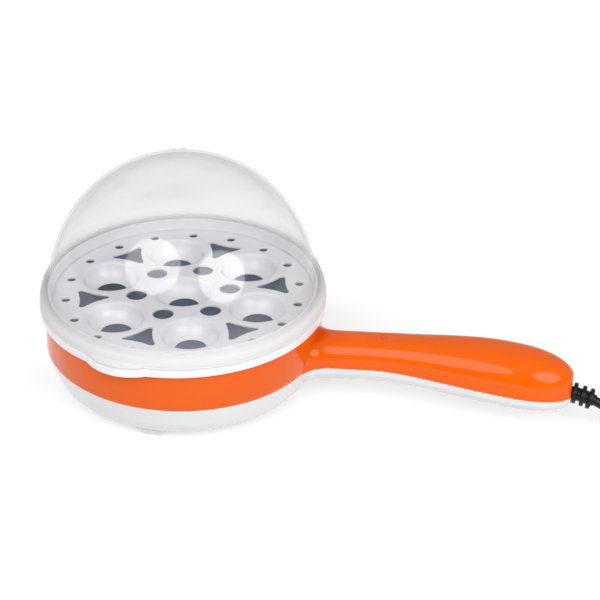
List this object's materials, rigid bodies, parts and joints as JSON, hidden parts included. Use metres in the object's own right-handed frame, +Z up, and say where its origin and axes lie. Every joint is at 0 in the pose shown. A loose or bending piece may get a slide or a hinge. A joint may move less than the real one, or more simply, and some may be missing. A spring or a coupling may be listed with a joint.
{
  "type": "egg cooker",
  "caption": "Round electric egg cooker with a long orange and white handle, a white lift-out tray for seven eggs and a clear domed lid.",
  "frame": {"origin": "On the floor, under the middle of the bounding box of the appliance without its cord", "axes": "+X along the handle away from the pan, +Y to the left of the handle, +Z up"},
  "size_m": [0.4792, 0.1959, 0.1544],
  "materials": {
    "clear_lid": "clear polycarbonate",
    "white_plastic": "gloss",
    "nonstick_coating": "dark non-stick coating",
    "silicone": "matte",
    "orange_plastic": "gloss",
    "element_steel": "dull",
    "ceramic": "glazed ceramic",
    "aluminium_sheet": "mill",
    "steel": "zinc plated",
    "brass": "plain",
    "lamp_lens": "translucent",
    "lamp_glass": "clear",
    "insulator": "natural",
    "wire_insulation": "silicone sleeve",
    "black_rubber": "satin",
    "pin_metal": "nickel plated"
  },
  "bodies": {
    "base": {"cooking_pan": "nonstick_coating", "pan_seal": "silicone", "upper_housing": "orange_plastic", "lower_housing": "white_plastic", "heating_element": "element_steel", "element_terminals": "ceramic", "heat_shield": "aluminium_sheet", "thermostat": "ceramic", "thermostat_bracket": "steel", "bracket_screws": "steel", "thermal_fuse": "brass", "fuse_clip": "steel", "base_screws": "steel", "handle_screws": "steel", "indicator_lens": "lamp_lens", "neon_lamp": "lamp_glass", "terminal_block": "insulator", "terminal_screws": "brass", "lead_wires": "wire_insulation", "cord_clamp": "insulator", "clamp_screws": "steel", "inner_cord": "black_rubber", "strain_relief": "black_rubber", "power_cord": "black_rubber", "cord_tail": "black_rubber", "cord_coil": "black_rubber", "cord_tie": "black_rubber", "plug_body": "black_rubber", "plug_pins": "pin_metal"},
    "tray": {"egg_tray": "white_plastic"},
    "lid_body": {"lid": "clear_lid"}
  },
  "joints": [
    {"name": "egg_tray_lift", "type": "slide", "parent": "base", "child": "tray", "axis": [0, 0, 1], "range_m": [0, 0.08]},
    {"name": "lid_lift", "type": "slide", "parent": "tray", "child": "lid_body", "axis": [0, 0, 1], "range_m": [0, 0.12]}
  ]
}
